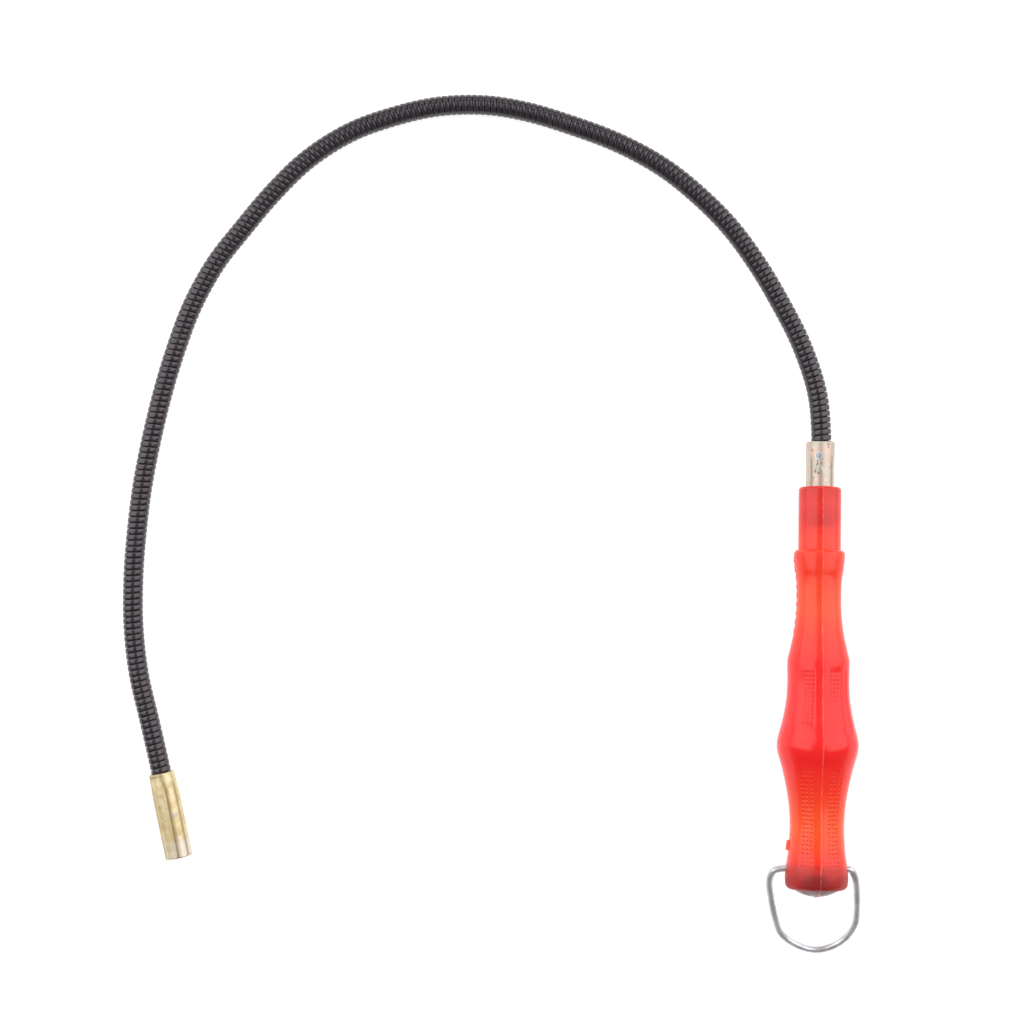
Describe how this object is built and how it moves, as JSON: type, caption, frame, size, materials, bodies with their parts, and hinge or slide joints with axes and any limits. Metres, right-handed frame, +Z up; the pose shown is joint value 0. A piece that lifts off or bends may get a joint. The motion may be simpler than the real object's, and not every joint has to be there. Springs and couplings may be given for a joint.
{
  "type": "flexible magnetic pick-up tool",
  "caption": "Bend-and-stay gooseneck pick-up tool with a magnet in a crimped tip ferrule, a moulded grip and a folding hanging ring.",
  "frame": {"origin": "bottom centre of the box round the handle, its hanging ring and its ferrule, with the free shaft and tip left out; the tool lies on z = 0", "axes": "+Z up from the surface the tool lies on; +Y along the handle from its butt towards the shaft; the hanging ring turns about +X; the shaft sweeps round towards -X"},
  "size_m": [0.225, 0.2592, 0.0244],
  "materials": {
    "red_plastic": "translucent red moulded plastic, glossy",
    "cap_steel": "satin, slightly tarnished",
    "ring_steel": "drawn wire, satin",
    "pale_zinc": "pale yellow-passivated zinc plate",
    "black_winding": "black oxide, oiled, satin",
    "inner_spring": "bare spring wire, dark",
    "yellow_zinc": "yellow-passivated zinc plate, bright",
    "magnet_grey": "ground, nickel plated"
  },
  "bodies": {
    "handle": {"handle_grip": "red_plastic", "butt_cap": "cap_steel", "handle_ferrule": "pale_zinc", "shaft_outer_winding": "black_winding", "shaft_inner_spring": "inner_spring", "tip_ferrule": "yellow_zinc", "tip_magnet": "magnet_grey"},
    "bail": {"bail_ring": "ring_steel"}
  },
  "joints": [
    {"name": "bail_hinge", "type": "hinge", "parent": "handle", "child": "bail", "pos_m": [0.0002, -0.05013, 0.01444], "axis": [1, 0, 0], "range_deg": [-180, 120]}
  ]
}
